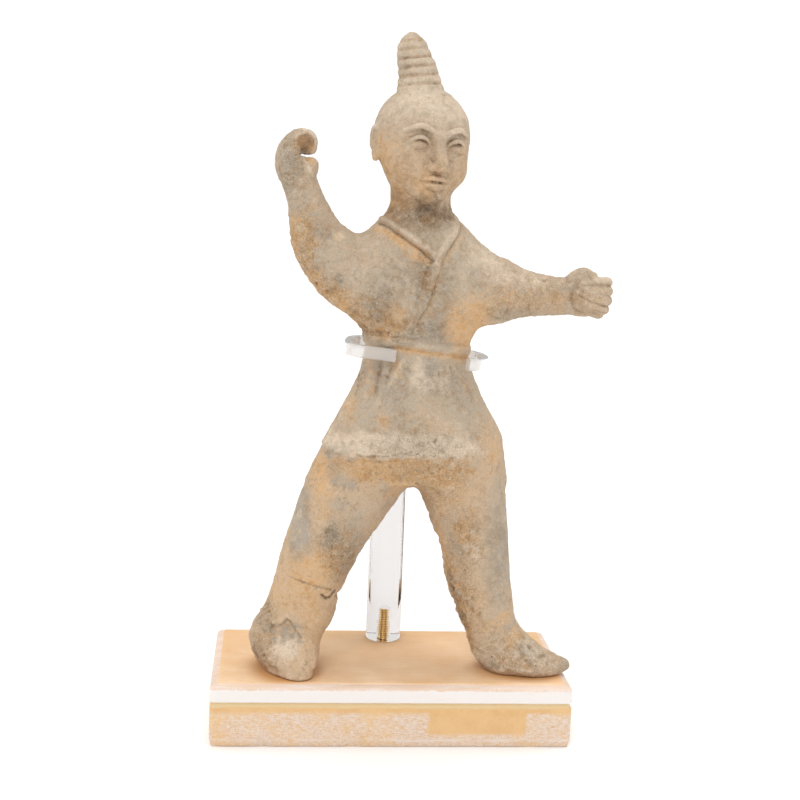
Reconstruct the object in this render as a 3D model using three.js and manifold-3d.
// Pottery warrior on a wooden plinth, held from behind by a clear acrylic post and cradle.
// Millimetres, +Z up. The origin is the middle of the plinth's underside. The figure faces -Y,
// and "left" and "right" are as its viewer sees them, along -X and +X.
import * as THREE from 'three';
import { mergeVertices } from 'three/addons/utils/BufferGeometryUtils.js';
import Module from 'manifold-3d';

// ---- Driving sizes ----
const plinth = { width: 184, depth: 88, height: 32.8, cornerRadius: 2.5, cornerSteps: 4 };
const post = { x: -0.3, y: 29.4, radius: 9.525, top: 207, flatStart: 51, flatFull: 64, flatDepth: 6 };
const stud = { radius: 3.175, pitch: 1.27, threadDepth: 0.6, top: 49.5, bottom: 20.8 };
const cradle = { height: 6.3, thickness: 3, tiltDegrees: 5.5, middleZ: 196 };
const gap = 0.3;
const floor = plinth.height + gap;

const clay = { gridStep: 2, triangles: 7600, colour: 0xa8977f };
const headTurn = THREE.MathUtils.degToRad(17);
const headLean = THREE.MathUtils.degToRad(-4);
const headMiddle = new THREE.Vector3(7.6, -5, 300);

const wasm = await Module();
wasm.setup();

// ---- Small helpers ----
const mix = (a, b, t) => a + (b - a) * t;
const clamp = (v, low, high) => Math.min(high, Math.max(low, v));
const ramp = (v, from, to) => {
  const t = clamp((v - from) / (to - from), 0, 1);
  return t * t * (3 - 2 * t);
};

// Smooth joins of two distances, blended over a width.
function blend(a, b, width) {
  const h = Math.max(width - Math.abs(a - b), 0) / width;
  return Math.min(a, b) - h * h * width / 4;
}
const carve = (a, b, width) => -blend(-a, b, width);

// A Catmull-Rom pass through rows of numbers, finely resampled.
function smoothRows(rows, steps) {
  const out = [];
  for (let i = 0; i < rows.length - 1; i++) {
    const p = [rows[Math.max(i - 1, 0)], rows[i], rows[i + 1], rows[Math.min(i + 2, rows.length - 1)]];
    for (let s = 0; s < steps; s++) {
      const t = s / steps;
      out.push(p[1].map((v, k) => 0.5 * (2 * v + (p[2][k] - p[0][k]) * t
        + (2 * p[0][k] - 5 * v + 4 * p[2][k] - p[3][k]) * t * t
        + (3 * v - p[0][k] - 3 * p[2][k] + p[3][k]) * t * t * t)));
    }
  }
  out.push(rows[rows.length - 1].slice());
  return out;
}

// ---- Clay forms: each gives the distance from a point to its surface, negative inside ----
// A round limb along rows of [x, y, z, radius, depth ratio].
function limb(rows, steps = 4) {
  const nodes = smoothRows(rows, steps);
  const reach = new THREE.Box3();
  for (const [x, y, z, r] of nodes) {
    reach.expandByPoint(new THREE.Vector3(x - r, y - r * 1.5, z - r));
    reach.expandByPoint(new THREE.Vector3(x + r, y + r * 1.5, z + r));
  }
  return (p) => {
    const away = reach.distanceToPoint(p);
    if (away > 9) return away;
    let best = Infinity;
    for (let i = 0; i < nodes.length - 1; i++) {
      const a = nodes[i];
      const b = nodes[i + 1];
      const ex = b[0] - a[0];
      const ey = b[1] - a[1];
      const ez = b[2] - a[2];
      const dx = p.x - a[0];
      const dy = p.y - a[1];
      const dz = p.z - a[2];
      const t = clamp((dx * ex + dy * ey + dz * ez) / (ex * ex + ey * ey + ez * ez), 0, 1);
      const depth = mix(a[4], b[4], t);
      const away2 = Math.hypot(dx - ex * t, (dy - ey * t) / depth, dz - ez * t);
      best = Math.min(best, (away2 - mix(a[3], b[3], t)) * Math.min(1, depth));
    }
    return best;
  };
}

// An upright body through rows of [z, left, right, front, back], top first, with oval sections.
function column(rows) {
  const fine = smoothRows(rows, 4);
  const top = fine[0][0];
  const bottom = fine[fine.length - 1][0];
  return (p) => {
    const z = clamp(p.z, bottom, top);
    let i = 0;
    while (i < fine.length - 2 && fine[i + 1][0] > z) i++;
    const t = (fine[i][0] - z) / (fine[i][0] - fine[i + 1][0]);
    const [, left, right, front, back] = fine[i].map((v, k) => mix(v, fine[i + 1][k], t));
    const rx = (right - left) / 2;
    const ry = (back - front) / 2;
    const dx = p.x - (left + right) / 2;
    const dy = p.y - (front + back) / 2;
    const f = Math.hypot(dx / rx, dy / ry);
    const slope = Math.hypot(dx / rx / rx, dy / ry / ry) / Math.max(f, 0.01);
    const side = f < 0.3 ? -Math.min(rx, ry) * 0.7 : (f - 1) / slope;
    const end = Math.max(bottom - p.z, p.z - top);
    return end > 0 ? Math.hypot(Math.max(side, 0), end) + Math.min(side, 0) * 0.2 : side;
  };
}

function ellipsoid(x, y, z, rx, ry, rz) {
  return (p) => {
    const dx = p.x - x;
    const dy = p.y - y;
    const dz = p.z - z;
    const f = Math.hypot(dx / rx, dy / ry, dz / rz);
    const slope = Math.hypot(dx / rx / rx, dy / ry / ry, dz / rz / rz) / Math.max(f, 0.01);
    return f < 0.2 ? -Math.min(rx, ry, rz) * 0.8 : (f - 1) / slope;
  };
}

// A line drawn on the front or back in [x, z] points. Its height falls off over its half width.
function stroke(points, halfWidth, height) {
  const line = smoothRows(points, 4);
  return (p) => {
    let best = Infinity;
    for (let i = 0; i < line.length - 1; i++) {
      const ex = line[i + 1][0] - line[i][0];
      const ez = line[i + 1][1] - line[i][1];
      const dx = p.x - line[i][0];
      const dz = p.z - line[i][1];
      const t = clamp((dx * ex + dz * ez) / (ex * ex + ez * ez), 0, 1);
      best = Math.min(best, Math.hypot(dx - ex * t, dz - ez * t));
    }
    return height * Math.exp(-((best / halfWidth) ** 2));
  };
}

// ---- The warrior's forms ----
const torso = column([
  [270, -7, 22, -15, 12], [262, -14.2, 30.5, -18, 15], [256, -20.6, 36.5, -19, 17],
  [248, -30.5, 43, -20, 18.5], [236, -31, 41, -21.5, 19], [220, -26.5, 39.5, -21.5, 18.5],
  [208, -17.6, 38.2, -20, 18], [197, -17.8, 35.2, -18.5, 17.5], [184, -20.8, 39.6, -21, 18],
  [168, -28.7, 47.3, -25, 18.5], [160, -32.6, 51.6, -27, 18.5], [155, -35, 54.4, -27.8, 18.5],
  [148, -38, 55.3, -28, 18.5], [140, -41, 55.4, -27, 18], [131, -44, 56.4, -24, 16],
]);
const neck = limb([[8, -3, 258, 15.5, 0.95], [7.8, -3, 270, 15.2, 0.95], [7.4, -3, 284, 15, 0.95]]);
const leftLeg = column([
  [156, -31, 14, -22, 15], [140, -41.3, 12, -25, 17], [124, -48, 4, -25, 16],
  [108, -52.8, -7.2, -24.5, 14], [92, -57.8, -17.3, -24, 11.5], [78, -61.2, -24.2, -24, 9],
  [66, -64.4, -28, -24, 6.5], [57, -67.6, -30.4, -25, 5], [48, -71, -36.5, -27, 4],
]);
const rightLeg = column([
  [156, 4, 48, -22, 15], [140, 6, 55.4, -25, 17], [124, 13.8, 58, -25.5, 16],
  [108, 20.3, 59.8, -26.5, 12], [92, 26.5, 60.9, -27, 8], [76, 29.8, 62.6, -28, 4],
  [60, 36.4, 65.1, -29, 0], [48, 41, 69, -29.5, -2],
]);
const leftFoot = limb([
  [-55, -13, 47.5, 18, 0.95], [-53, -21, 44.5, 16, 1], [-49.5, -28.5, 40.5, 11.5, 1],
  [-47.8, -33, 38, 8.3, 0.9],
]);
const rightFoot = limb([
  [56, -16, 46, 13.5, 1.05], [63, -20, 43, 12.3, 1.1], [73, -24, 39.8, 9.3, 1.15],
  [83, -24.5, 37.6, 6.2, 1.15], [90.5, -23, 37, 3.2, 1.1],
]);
const rightHeel = ellipsoid(59, -19, 38, 9.5, 10.5, 8);
const leftArm = limb([
  [-2, -2, 219, 18, 1.05], [-14, -2.5, 228, 18, 1.05], [-29.5, -3, 238.5, 17.6, 1],
  [-41.5, -3, 250.5, 14.3, 1], [-47, -3.5, 262.5, 11.2, 1], [-50.2, -4, 273, 9, 1],
  [-53.9, -4.5, 283, 8.5, 0.95], [-56, -5, 290, 9, 0.8],
]);
const rightArm = limb([
  [12, -3, 233, 20, 0.95], [30, -4, 231.6, 20.2, 0.95], [44, -5, 230, 18, 0.95],
  [56, -6, 229.3, 13.6, 1], [70, -6.5, 228.4, 10.7, 1], [84, -7, 228.6, 9.5, 0.95],
  [92, -7.5, 229, 9.6, 0.9],
]);

// The raised hand curls over like a mitten, hollow towards the front, with a thumb stub below it.
const curledHand = limb([
  [-56.8, -4.5, 288, 8, 1], [-57.2, -4.5, 295.5, 7.4, 1.1], [-54.8, -4.5, 301.4, 5, 1.6],
  [-50.6, -4.5, 302, 4.8, 1.7], [-48.9, -4.5, 300.6, 3.8, 1.9], [-48.5, -4.5, 297.6, 3.2, 2],
]);
const cupBack = ellipsoid(-50.6, -0.5, 300, 5.6, 5.5, 6.4);
const cup = ellipsoid(-50.4, -13.5, 299, 3.6, 7.4, 4.8);
const raisedThumb = limb([[-52, -6, 280, 4.5, 1], [-49, -7, 286, 4.2, 1], [-47.8, -7.5, 289.4, 3.6, 1]]);

// The fist: a palm, five finger ridges fanning over its edge, and a thumb folded across the top.
const palm = ellipsoid(94, -7.6, 228.4, 10.6, 9, 9.8);
const fingers = [
  [[89.5, -13, 235.3, 1.8, 1], [95.5, -15.3, 236.7, 2.3, 1], [101.5, -13.8, 236.8, 2.4, 1.1],
    [104.4, -8.5, 236, 2.5, 1.2], [103.6, -2, 235.6, 2.6, 1.2]],
  [[89.5, -15.2, 233.2, 1.8, 1], [95.5, -17.2, 232.7, 2.5, 1], [101.8, -15.6, 232.6, 2.6, 1.1],
    [104.8, -9.5, 231.8, 2.5, 1.2], [104.2, -2, 231.4, 2.6, 1.2]],
  [[89.3, -15.4, 230.4, 1.8, 1], [95.5, -17.2, 228.6, 2.5, 1], [101.6, -15.5, 227.6, 2.6, 1.1],
    [104.6, -9.5, 227, 2.5, 1.2], [104, -2, 226.8, 2.6, 1.2]],
  [[89.6, -14.6, 227.2, 1.8, 1], [95.2, -16, 224.8, 2.4, 1], [100.8, -14.4, 223.2, 2.5, 1.1],
    [103.4, -9, 222.4, 2.4, 1.2], [102.8, -2, 222.4, 2.5, 1.2]],
  [[90.5, -12.4, 223.6, 1.8, 1], [96, -12.6, 221, 2.2, 1], [100.6, -10.5, 219.8, 2.2, 1.2],
    [101, -4, 219.8, 2.3, 1.2]],
].map((rows) => limb(rows));
const foldedThumb = limb([
  [84, -9, 234.6, 3.6, 1], [88, -10.5, 238, 4, 1], [91.6, -12, 239.6, 3.8, 1], [96, -12.6, 239.2, 2.6, 1],
]);

// The head is made about its own middle, facing -Y, then turned and leaned on the neck.
const toHead = new THREE.Matrix4().makeRotationFromEuler(new THREE.Euler(0, -headLean, headTurn, 'ZYX'));
toHead.setPosition(headMiddle).invert();
const skull = ellipsoid(0, 3.5, 6, 24.3, 23.5, 24.8);
const face = ellipsoid(0, -4.5, -6, 21, 17.5, 21.5);
const chin = ellipsoid(0, -13.4, -22.3, 7, 6.6, 5);
const onBothSides = (make) => [-1, 1].map(make);
const cheeks = onBothSides((s) => ellipsoid(10.5 * s, -13.2, -9.5, 7, 6.5, 6.3));
const sockets = onBothSides((s) => ellipsoid(8.8 * s, -22.6, 0.8, 6.6, 5.4, 4.3));
const eyes = onBothSides((s) => ellipsoid(8.7 * s, -15, 0, 5.2, 4.9, 3.2));
const wings = onBothSides((s) => ellipsoid(3 * s, -21.4, -9.4, 1.9, 2.5, 1.8));
const nose = limb([[0, -20.6, 4.6, 1.7, 1], [0, -22.4, -2.5, 1.9, 1], [0, -23.9, -8.6, 2.5, 1]]);
const brows = onBothSides((s) => limb([
  [3 * s, -21, 4.2, 0.9, 1], [6 * s, -20.9, 6.4, 1.1, 1],
  [10.4 * s, -19.4, 7.2, 1.1, 1], [15.6 * s, -15.2, 4.6, 0.8, 1],
]));
const upperLip = limb([
  [-6.2, -18, -16.5, 0.5, 1], [-2, -21, -15, 1.1, 1], [2, -21, -15, 1.1, 1], [6.2, -18, -16.5, 0.5, 1],
]);
const lowerLip = limb([
  [-5.6, -18.3, -16.8, 0.5, 1], [-2, -20.5, -18, 1.3, 1],
  [2, -20.5, -18, 1.3, 1], [5.6, -18.3, -16.8, 0.5, 1],
]);
const ears = onBothSides((s) => ellipsoid(22.8 * s, 4, -0.5, 2.8, 5, 8.4));
const local = new THREE.Vector3();
function head(p) {
  local.copy(p).applyMatrix4(toHead);
  let d = blend(skull(local), face(local), 5.5);
  if (d > 14) return d;
  d = blend(d, chin(local), 5.5);
  for (const cheek of cheeks) d = blend(d, cheek(local), 5);
  for (const socket of sockets) d = carve(d, socket(local), 2.4);
  for (const eye of eyes) d = blend(d, eye(local), 0.6);
  for (const part of [nose, ...brows, ...wings, upperLip, lowerLip, ...ears]) d = blend(d, part(local), 1.3);
  return d;
}

// Dress relief: crossed collar, belt, skirt pleats, and the jacket's hem above the trousers.
const beltZ = (x) => 203.4 - 0.13 * Math.max(x + 2, 0);
const hem = smoothRows([
  [-46, 150], [-33, 147], [-22, 145.5], [-9, 146], [1, 148.5], [8, 150], [15, 153.7], [20, 156.8], [26, 159],
], 2);
function hemZ(x) {
  if (x <= hem[0][0]) return hem[0][1];
  const i = hem.findIndex((row) => row[0] >= x);
  if (i < 0) return hem[hem.length - 1][1];
  return mix(hem[i - 1][1], hem[i][1], (x - hem[i - 1][0]) / (hem[i][0] - hem[i - 1][0]));
}
const collarLines = [
  stroke([[-13, 266], [-7.7, 264.3], [-1.9, 260.2], [3.7, 256.2], [9.4, 252], [13, 249.2]], 2.2, 1.6),
  stroke([
    [23.5, 264], [22.6, 259], [20, 254], [16.6, 248.5], [12.5, 240], [10, 230], [7.5, 220], [3.5, 208],
  ], 3.2, 1),
];
const pleats = [
  stroke([[-10, 196], [-12, 186], [-13, 176]], 1.8, -0.9),
  stroke([[-5, 192], [-8, 182], [-12, 160]], 1.7, -0.9),
  stroke([[-16, 196], [-20, 184], [-26, 160]], 1.8, -0.9),
  stroke([[2, 196], [-3, 187], [-8, 179], [-13, 162]], 2, 0.8),
];
const backPleats = [-14, 0, 18, 32].map((x) => stroke([[x * 0.8 + 2, 190], [x * 1.25, 156]], 2.2, -0.9));
const backCollar = stroke([[-14, 263], [8, 258], [30, 262]], 2.3, 1.1);
const cuffZ = (x) => Math.max(46, 60.5 - (x < -54 ? 0.8 : 0.9) * Math.abs(x + 54));
function relief(p) {
  if (p.z < 60 && p.x < -30) return -1.1 * ramp(cuffZ(p.x) - p.z, -0.9, 0.9) * ramp(-p.y, 12, 22);
  if (p.z > 268 || p.z < 125) return 0;
  const nearWaist = ramp(p.x, -32, -24) * ramp(-p.x, -52, -44);
  let raised = 1.3 * Math.exp(-(((p.z - beltZ(p.x)) / 2.6) ** 4)) * nearWaist;
  const step = mix(1.1, 0.2, ramp(p.x, 4, 22)) * ramp(48 - p.x, 0, 14);
  const edge = p.y < 0 ? hemZ(p.x) : 150 + 4 * ramp(p.x, -10, 50);
  raised -= step * ramp(edge - p.z, -0.9, 0.9) * ramp(p.z, 118, 138);
  const strokes = p.y < -4 ? [...collarLines, ...pleats] : [...backPleats, backCollar];
  const facing = ramp(Math.abs(p.y + 3), 2, 9);
  for (const line of strokes) raised += facing * line(p);
  return raised;
}

// The inner calf of the left leg is broken in a notch, above the trouser cuff.
const calfNotch = ellipsoid(-24.5, -9, 70.2, 6, 14, 2.2);

function figureDistance(p) {
  let d = torso(p);
  d = blend(d, leftLeg(p), 7);
  d = blend(d, rightLeg(p), 7);
  d = blend(d, leftArm(p), 7);
  d = blend(d, rightArm(p), 7);
  d = blend(d, neck(p), 4);
  d = blend(d, head(p), 3.5);
  if (p.z < 72) {
    d = blend(d, leftFoot(p), 4);
    d = blend(d, rightFoot(p), 4);
    d = blend(d, rightHeel(p), 4);
    d = carve(d, calfNotch(p), 1.5);
  }
  if (p.x < -34 && p.z > 274) {
    d = blend(d, curledHand(p), 3);
    d = blend(d, cupBack(p), 1.5);
    d = carve(d, cup(p), 1.5);
    d = blend(d, raisedThumb(p), 1.2);
  }
  if (p.x > 78) {
    d = blend(d, palm(p), 3);
    for (const finger of fingers) d = blend(d, finger(p), 0.8);
    d = blend(d, foldedThumb(p), 1);
  }
  if (d < 6) d -= relief(p);
  return Math.max(d, floor - p.z);
}

// ---- Clay skin: the zero surface, walked through tetrahedra so that it always closes ----
function claySkin(distance, low, high, step) {
  const n = [0, 1, 2].map((k) => Math.ceil((high[k] - low[k]) / step) + 1);
  const values = new Float32Array(n[0] * n[1] * n[2]);
  const stride = [1, n[0], n[0] * n[1]];
  const p = new THREE.Vector3();
  for (let k = 0; k < n[2]; k++) {
    for (let j = 0; j < n[1]; j++) {
      for (let i = 0; i < n[0]; i++) {
        p.set(low[0] + i * step, low[1] + j * step, low[2] + k * step);
        const value = distance(p);
        values[i + j * stride[1] + k * stride[2]] = Math.abs(value) < 0.02 ? 0.02 : value;
      }
    }
  }
  const bits = [0, 1, 2, 3, 4, 5, 6, 7].map((c) => [c & 1, (c >> 1) & 1, (c >> 2) & 1]);
  const shift = bits.map((b) => b[0] + b[1] * stride[1] + b[2] * stride[2]);
  const points = [];
  const triangles = [];
  const known = new Map();
  const crossing = (cell, a, b) => {
    const low2 = Math.min(a, b);
    const mask = a ^ b;
    const start = cell + shift[low2];
    const key = start * 8 + mask;
    if (known.has(key)) return known.get(key);
    const t = values[start] / (values[start] - values[start + shift[mask]]);
    const at = [start % n[0], Math.floor(start / stride[1]) % n[1], Math.floor(start / stride[2])];
    for (let k = 0; k < 3; k++) points.push(low[k] + step * (at[k] + t * bits[mask][k]));
    known.set(key, points.length / 3 - 1);
    return points.length / 3 - 1;
  };
  const turn = (i, j, k, l) => {
    const [a, b, c] = [j, k, l].map((v) => bits[v].map((w, m) => w - bits[i][m]));
    return a[0] * (b[1] * c[2] - b[2] * c[1]) - a[1] * (b[0] * c[2] - b[2] * c[0])
      + a[2] * (b[0] * c[1] - b[1] * c[0]);
  };
  const paths = [[1, 3], [1, 5], [2, 3], [2, 6], [4, 5], [4, 6]];
  for (let k = 0; k < n[2] - 1; k++) {
    for (let j = 0; j < n[1] - 1; j++) {
      for (let i = 0; i < n[0] - 1; i++) {
        const cell = i + j * stride[1] + k * stride[2];
        const inside = shift.map((s) => values[cell + s] < 0);
        if (inside.every((v) => v === inside[0])) continue;
        for (const [a, b] of paths) {
          const tet = [0, a, b, 7];
          const ins = tet.filter((v) => inside[v]);
          const outs = tet.filter((v) => !inside[v]);
          if (!ins.length || !outs.length) continue;
          const order = [...ins, ...outs];
          if (turn(...order) < 0) {
            if (outs.length > 1) order.push(...order.splice(2).reverse());
            else order.unshift(...order.splice(0, 2).reverse());
          }
          const e = (u, v) => crossing(cell, order[u], order[v]);
          if (ins.length === 1) triangles.push([e(0, 1), e(0, 2), e(0, 3)]);
          if (ins.length === 3) triangles.push([e(3, 0), e(3, 1), e(3, 2)]);
          if (ins.length === 2) {
            const quad = [e(0, 2), e(0, 3), e(1, 3), e(1, 2)];
            triangles.push([quad[0], quad[1], quad[2]], [quad[0], quad[2], quad[3]]);
          }
        }
      }
    }
  }
  return { points, triangles };
}

// Edges are collapsed, cheapest first by the squared distance to the planes met, down to a wanted
// number of triangles. A collapse is refused where it would pinch the surface or turn a face over.
function thinOut({ points, triangles }, wanted) {
  const count = points.length / 3;
  const corner = (v) => [points[3 * v], points[3 * v + 1], points[3 * v + 2]];
  const faces = triangles.map((t) => t.slice());
  const around = Array.from({ length: count }, () => new Set());
  const quadrics = Array.from({ length: count }, () => new Float64Array(10));
  const stamp = new Int32Array(count);
  const normalOf = (a, b, c) => {
    const u = [b[0] - a[0], b[1] - a[1], b[2] - a[2]];
    const v = [c[0] - a[0], c[1] - a[1], c[2] - a[2]];
    return [u[1] * v[2] - u[2] * v[1], u[2] * v[0] - u[0] * v[2], u[0] * v[1] - u[1] * v[0]];
  };
  faces.forEach((face, index) => {
    const [a, b, c] = face.map(corner);
    const n = normalOf(a, b, c);
    const size = Math.hypot(...n) || 1e-12;
    const [x, y, z] = n.map((v) => v / size);
    const w = -(x * a[0] + y * a[1] + z * a[2]);
    const plane = [x * x, x * y, x * z, x * w, y * y, y * z, y * w, z * z, z * w, w * w];
    for (const v of face) {
      around[v].add(index);
      plane.forEach((value, k) => { quadrics[v][k] += value * size; });
    }
  });
  const cost = (q, [x, y, z]) => q[0] * x * x + 2 * q[1] * x * y + 2 * q[2] * x * z + 2 * q[3] * x
    + q[4] * y * y + 2 * q[5] * y * z + 2 * q[6] * y + q[7] * z * z + 2 * q[8] * z + q[9];
  const best = (u, v) => {
    const q = quadrics[u].map((value, k) => value + quadrics[v][k]);
    const a = corner(u);
    const b = corner(v);
    const middle = a.map((value, k) => (value + b[k]) / 2);
    const det = q[0] * (q[4] * q[7] - q[5] * q[5]) - q[1] * (q[1] * q[7] - q[5] * q[2])
      + q[2] * (q[1] * q[5] - q[4] * q[2]);
    let place = middle;
    if (Math.abs(det) > 1e-3) {
      const xx = q[4] * q[7] - q[5] * q[5];
      const xy = q[2] * q[5] - q[1] * q[7];
      const xz = q[1] * q[5] - q[2] * q[4];
      const yy = q[0] * q[7] - q[2] * q[2];
      const yz = q[1] * q[2] - q[0] * q[5];
      const zz = q[0] * q[4] - q[1] * q[1];
      const solve = [
        -(xx * q[3] + xy * q[6] + xz * q[8]) / det,
        -(xy * q[3] + yy * q[6] + yz * q[8]) / det,
        -(xz * q[3] + yz * q[6] + zz * q[8]) / det,
      ];
      const length = Math.hypot(a[0] - b[0], a[1] - b[1], a[2] - b[2]);
      const far = Math.hypot(solve[0] - middle[0], solve[1] - middle[1], solve[2] - middle[2]);
      if (far < length) place = solve;
    }
    const length2 = (a[0] - b[0]) ** 2 + (a[1] - b[1]) ** 2 + (a[2] - b[2]) ** 2;
    return { u, v, place, price: cost(q, place) + 1e-4 * length2, at: stamp[u] + stamp[v] };
  };
  const heap = [];
  const swap = (i, j) => { [heap[i], heap[j]] = [heap[j], heap[i]]; };
  const push = (item) => {
    heap.push(item);
    let i = heap.length - 1;
    while (i > 0 && heap[(i - 1) >> 1].price > heap[i].price) {
      swap(i, (i - 1) >> 1);
      i = (i - 1) >> 1;
    }
  };
  const pop = () => {
    const top = heap[0];
    const last = heap.pop();
    if (heap.length) {
      heap[0] = last;
      for (let i = 0; ;) {
        let least = i;
        if (2 * i + 1 < heap.length && heap[2 * i + 1].price < heap[least].price) least = 2 * i + 1;
        if (2 * i + 2 < heap.length && heap[2 * i + 2].price < heap[least].price) least = 2 * i + 2;
        if (least === i) break;
        swap(i, least);
        i = least;
      }
    }
    return top;
  };
  for (const face of faces) {
    for (let k = 0; k < 3; k++) if (face[k] < face[(k + 1) % 3]) push(best(face[k], face[(k + 1) % 3]));
  }
  const neighbours = (v) => new Set([...around[v]].flatMap((f) => faces[f]).filter((w) => w !== v));
  let left = faces.length;
  while (left > wanted && heap.length) {
    const { u, v, place, at } = pop();
    if (!around[u] || !around[v] || at !== stamp[u] + stamp[v]) continue;
    const shared = [...around[u]].filter((f) => around[v].has(f));
    const near = neighbours(u);
    if (shared.length !== 2 || [...neighbours(v)].filter((w) => near.has(w)).length !== 2) continue;
    const turned = [...around[u], ...around[v]].some((f) => {
      if (shared.includes(f)) return false;
      const before = normalOf(...faces[f].map(corner));
      const after = normalOf(...faces[f].map((w) => (w === u || w === v ? place : corner(w))));
      const dot = before[0] * after[0] + before[1] * after[1] + before[2] * after[2];
      return dot < 0.3 * Math.hypot(...before) * Math.hypot(...after) || Math.hypot(...after) < 1e-3;
    });
    if (turned) continue;
    for (let k = 0; k < 3; k++) points[3 * u + k] = place[k];
    quadrics[v].forEach((value, k) => { quadrics[u][k] += value; });
    for (const f of shared) for (const w of faces[f]) around[w].delete(f);
    for (const f of shared) faces[f] = null;
    for (const f of around[v]) {
      faces[f] = faces[f].map((w) => (w === v ? u : w));
      around[u].add(f);
    }
    around[v] = null;
    left -= 2;
    stamp[u]++;
    for (const w of neighbours(u)) push(best(u, w));
  }
  const geometry = new THREE.BufferGeometry();
  geometry.setAttribute('position', new THREE.Float32BufferAttribute(points, 3));
  geometry.setIndex(faces.filter(Boolean).flat());
  return geometry;
}

// ---- Solids to join and cut ----
function solidOf(geometry) {
  const bare = geometry.clone();
  bare.deleteAttribute('normal');
  bare.deleteAttribute('uv');
  const { attributes, index } = mergeVertices(bare, 1e-4);
  return new wasm.Manifold(new wasm.Mesh({
    numProp: 3,
    vertProperties: Float32Array.from(attributes.position.array),
    triVerts: Uint32Array.from(index.array),
  }));
}

function geometryOf(solid) {
  const { vertProperties, triVerts } = solid.getMesh();
  const geometry = new THREE.BufferGeometry();
  geometry.setAttribute('position', new THREE.BufferAttribute(new Float32Array(vertProperties), 3));
  geometry.setIndex(new THREE.BufferAttribute(new Uint32Array(triVerts), 1));
  return geometry;
}

// Rings of equal length, bottom first and each counter-clockwise from above, skinned and closed.
function skinRings(rings) {
  const sides = rings[0].length;
  const points = rings.flat();
  const middle = (ring) => ring.reduce((sum, q) => sum.add(q), new THREE.Vector3()).divideScalar(sides);
  points.push(middle(rings[0]), middle(rings[rings.length - 1]));
  const index = [];
  for (let s = 0; s < sides; s++) {
    const next = (s + 1) % sides;
    index.push(points.length - 2, next, s);
    for (let r = 0; r < rings.length - 1; r++) {
      const a = r * sides;
      const b = a + sides;
      index.push(a + s, a + next, b + next, a + s, b + next, b + s);
    }
    index.push(points.length - 1, (rings.length - 1) * sides + s, (rings.length - 1) * sides + next);
  }
  const geometry = new THREE.BufferGeometry().setFromPoints(points);
  geometry.setIndex(index);
  return geometry;
}

function pillar(radius, bottom, top, x, y, sides = 24) {
  return new THREE.CylinderGeometry(radius, radius, top - bottom, sides)
    .rotateX(Math.PI / 2)
    .translate(x, y, (top + bottom) / 2);
}

// ---- The pieces ----
// A coil of hair wound up to a round tip, leaning to the left: rows of [z, middle x, radius].
function topknotGeometry() {
  const rows = smoothRows([
    [324, 6.6, 12.6], [330.3, 5.9, 11.3], [335, 4.9, 10.4], [338.6, 4.1, 10.1], [341.4, 3.3, 9.7],
    [343.4, 2.6, 9.2], [347.4, 1.5, 8.1], [350.6, 1.1, 6.8], [353.4, 0.9, 5], [355.6, 0.6, 2.4],
  ], 8);
  const firstGroove = 330.2;
  const ringStep = 4.4;
  const slant = 0.12;
  const sides = 16;
  const levels = [[rows[0][0], 0.25]];
  for (let z = firstGroove; z < 353; z += ringStep) levels.push([z, -0.55], [z + 0.45 * ringStep, 0.25]);
  levels.push([354, 0.1], [rows[rows.length - 1][0], 0]);
  const rings = levels.map(([z, swell]) => {
    const row = rows.find((r) => r[0] >= z - 1e-6);
    return Array.from({ length: sides }, (_, s) => {
      const angle = (2 * Math.PI * s) / sides;
      const across = (row[2] + swell) * Math.cos(angle);
      const up = slant * across * ramp(356 - z, 0, 10);
      return new THREE.Vector3(row[1] + across, -1.5 + (row[2] + swell) * Math.sin(angle), z + up);
    });
  });
  return skinRings(rings);
}

function warriorFigure() {
  const low = [-76, -46, floor - 3];
  const high = [112, 28, 334];
  const skin = claySkin(figureDistance, low, high, clay.gridStep);
  const body = solidOf(thinOut(skin, clay.triangles));
  return geometryOf(body.add(solidOf(topknotGeometry())));
}

// The plinth's side runs up past a worn foot, a wide face, a groove and a band to a bevelled top.
function woodPlinth() {
  const levels = [
    [1.2, 0], [0.2, 2], [0, 3.6], [0, 20.8], [1.4, 21.8], [1.4, 23], [0, 23.6], [0, 30],
    [0.7, 31.2], [2.3, 31.9], [3.9, 32.1], [4.1, plinth.height],
  ];
  const rings = levels.map(([inset, z]) => {
    const radius = plinth.cornerRadius;
    const x = plinth.width / 2 - inset - radius;
    const y = plinth.depth / 2 - inset - radius;
    const ring = [];
    for (let corner = 0; corner < 4; corner++) {
      const middle = [[x, y], [-x, y], [-x, -y], [x, -y]][corner];
      for (let s = 0; s <= plinth.cornerSteps; s++) {
        const angle = (Math.PI / 2) * (corner + s / plinth.cornerSteps);
        const px = middle[0] + radius * Math.cos(angle);
        const py = middle[1] + radius * Math.sin(angle);
        ring.push(new THREE.Vector3(px, py, z));
      }
    }
    return ring;
  });
  const hole = pillar(stud.radius + gap, stud.bottom - gap, plinth.height + 5, post.x, post.y);
  return geometryOf(solidOf(skinRings(rings)).subtract(solidOf(hole)));
}

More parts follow.
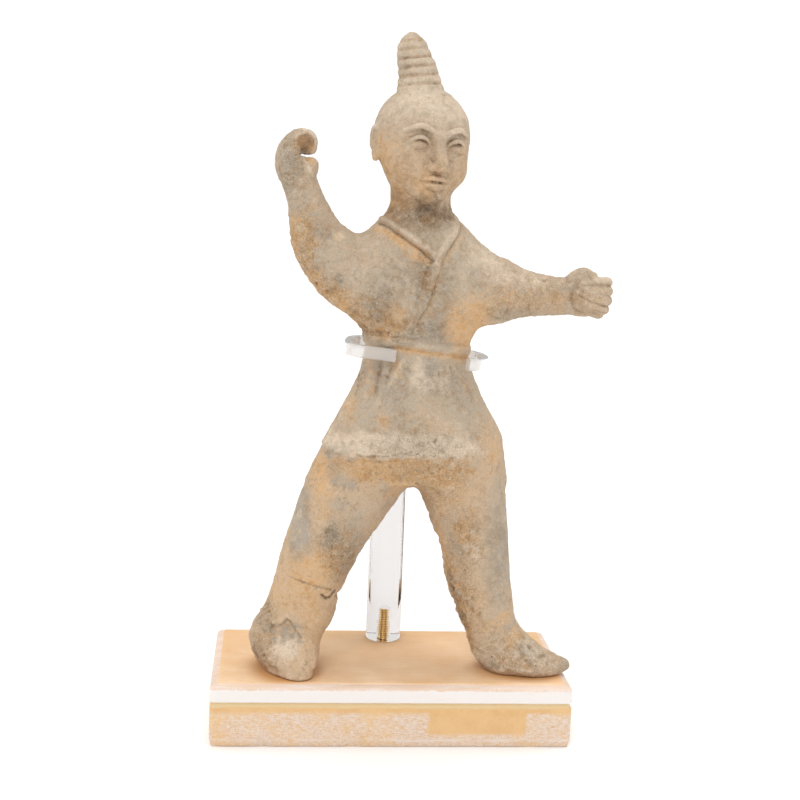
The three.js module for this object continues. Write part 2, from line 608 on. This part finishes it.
// A round post with a bore for the stud, planed back on the side that faces the figure.
function acrylicPost() {
  const bore = stud.radius + gap;
  const boreTop = stud.top + gap;
  const profile = [
    [0, boreTop], [bore, boreTop], [bore, floor],
    [post.radius, floor], [post.radius, post.top], [0, post.top],
  ];
  const round = new THREE.LatheGeometry(profile.map(([x, z]) => new THREE.Vector2(x, z)), 40)
    .rotateX(Math.PI / 2)
    .translate(post.x, post.y, 0);
  const face = post.y - post.radius;
  const planed = new THREE.Shape([
    [face - 5, post.flatStart], [face, post.flatStart], [face + post.flatDepth, post.flatFull],
    [face + post.flatDepth, post.top + 5], [face - 5, post.top + 5],
  ].map(([y, z]) => new THREE.Vector2(y, z)));
  const cut = new THREE.ExtrudeGeometry(planed, { depth: 4 * post.radius, bevelEnabled: false });
  cut.applyMatrix4(new THREE.Matrix4().makeBasis(
    new THREE.Vector3(0, 1, 0), new THREE.Vector3(0, 0, 1), new THREE.Vector3(1, 0, 0)));
  cut.translate(post.x - 2 * post.radius, 0, 0);
  return geometryOf(solidOf(round).subtract(solidOf(cut)));
}

// A flat strip bent round the waist, open in front, from its left end to its right end.
function acrylicCradle() {
  const back = post.y - post.radius + post.flatDepth - gap - cradle.thickness / 2;
  const line = new THREE.CatmullRomCurve3([
    [-4.2, -19.8], [-14, -18], [-22.5, -16], [-26.3, -11], [-26.6, -3], [-25, 12],
    [-19, back - 1], [-12, back], [-4, back],
    [4, back], [14, back], [33, back - 1.6], [42.5, 14], [45, 1.5], [43, -9], [39, -15.5], [33.6, -19],
  ].map(([x, y]) => new THREE.Vector3(x, y, 0)), false, 'centripetal');
  const steps = 44;
  const outer = [];
  const inner = [];
  for (let i = 0; i <= steps; i++) {
    const at = line.getPointAt(i / steps);
    const along = line.getTangentAt(i / steps).multiplyScalar(cradle.thickness / 2);
    outer.push(new THREE.Vector2(at.x - along.y, at.y + along.x));
    inner.push(new THREE.Vector2(at.x + along.y, at.y - along.x));
  }
  const outline = new THREE.Shape([...outer, ...inner.reverse()]);
  return new THREE.ExtrudeGeometry(outline, { depth: cradle.height, bevelEnabled: false })
    .translate(0, 0, -cradle.height / 2);
}

function brassStud() {
  const chamfer = 0.8;
  const profile = [
    [0, stud.bottom], [stud.radius - chamfer, stud.bottom], [stud.radius, stud.bottom + chamfer],
    [stud.radius, stud.top - chamfer], [stud.radius - chamfer, stud.top], [0, stud.top],
  ];
  return new THREE.LatheGeometry(profile.map(([x, z]) => new THREE.Vector2(x, z)), 20).rotateX(Math.PI / 2);
}

// ---- Scene graph ----
function piece(name, geometry, color, roughness, metalness = 0) {
  const mesh = new THREE.Mesh(geometry, new THREE.MeshStandardMaterial({ color, roughness, metalness }));
  mesh.name = name;
  return mesh;
}

const group = new THREE.Group();
group.add(piece('warrior_figure', warriorFigure(), clay.colour, 0.9));
group.add(piece('wood_plinth', woodPlinth(), 0xe5be8a, 0.6));
group.add(piece('acrylic_post', acrylicPost(), 0xeef2f2, 0.05));
const cradleMesh = piece('acrylic_cradle', acrylicCradle(), 0xeef2f2, 0.08);
cradleMesh.position.set(post.x, 0, cradle.middleZ);
cradleMesh.rotation.y = THREE.MathUtils.degToRad(cradle.tiltDegrees);
cradleMesh.geometry.translate(-post.x, 0, 0);
group.add(cradleMesh);
const studMesh = piece('brass_stud', brassStud(), 0xc79a4e, 0.35, 1);
studMesh.position.set(post.x, post.y, 0);
group.add(studMesh);

export default group;
